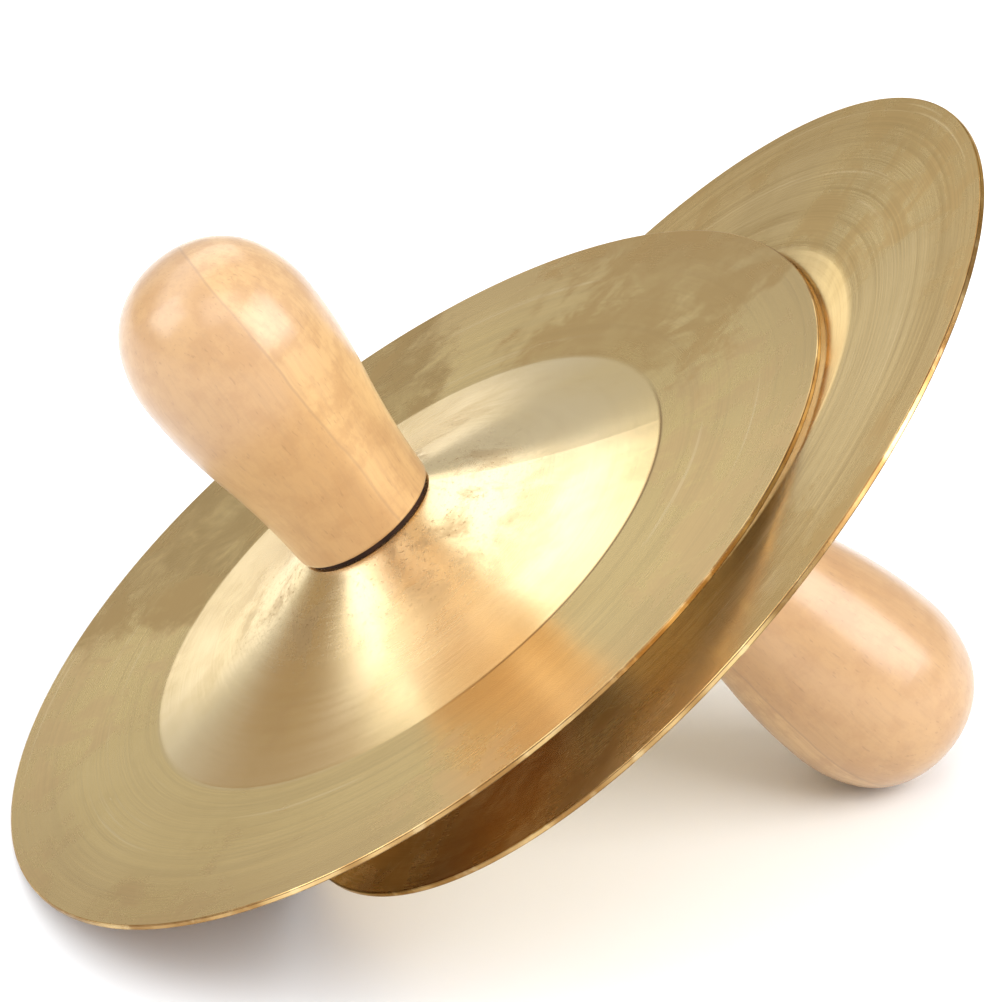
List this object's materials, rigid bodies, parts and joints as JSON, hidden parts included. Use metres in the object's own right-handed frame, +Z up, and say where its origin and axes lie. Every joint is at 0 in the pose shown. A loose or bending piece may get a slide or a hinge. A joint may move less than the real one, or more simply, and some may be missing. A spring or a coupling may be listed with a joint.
{
  "type": "hand cymbals",
  "caption": "Pair of small brass hand cymbals with turned wooden handles, lying face to face, one leaning on the other.",
  "frame": {"origin": "on the table, at the bottom centre of the pair's bounding box", "axes": "+Z up; both cymbals' axes lie in the XZ plane; -X is the side that the front cymbal's handle leans to, +X the side that the rear cymbal's handle points down to"},
  "size_m": [0.1535, 0.15, 0.104],
  "materials": {
    "brass": "fine lathe-turned rings, lightly tarnished",
    "wood": "turned pale hardwood, clear satin lacquer",
    "leather": "dark dyed leather",
    "insert_brass": "machined",
    "steel": "zinc-plated steel"
  },
  "bodies": {
    "rear_cymbal": {"rear_plate": "brass", "rear_leather_washer": "leather", "rear_flat_washer": "steel", "rear_lock_washer": "steel"},
    "rear_grip": {"rear_handle": "wood", "rear_handle_insert": "insert_brass", "rear_screw": "steel"},
    "front_cymbal": {"front_plate": "brass", "front_leather_washer": "leather", "front_flat_washer": "steel", "front_lock_washer": "steel"},
    "front_grip": {"front_handle": "wood", "front_handle_insert": "insert_brass", "front_screw": "steel"}
  },
  "joints": [
    {"name": "front_lift", "type": "slide", "parent": "rear_cymbal", "child": "front_cymbal", "axis": [-0.5238, 0, 0.8518], "range_m": [0, 0.25]},
    {"name": "front_handle_turn", "type": "hinge", "parent": "front_cymbal", "child": "front_grip", "pos_m": [-0.01948, 0, 0.05053], "axis": [-0.5238, 0, 0.8518], "continuous": true},
    {"name": "rear_handle_turn", "type": "hinge", "parent": "rear_cymbal", "child": "rear_grip", "pos_m": [0.03092, 0, 0.04272], "axis": [0.6896, 0, -0.7242], "continuous": true}
  ]
}
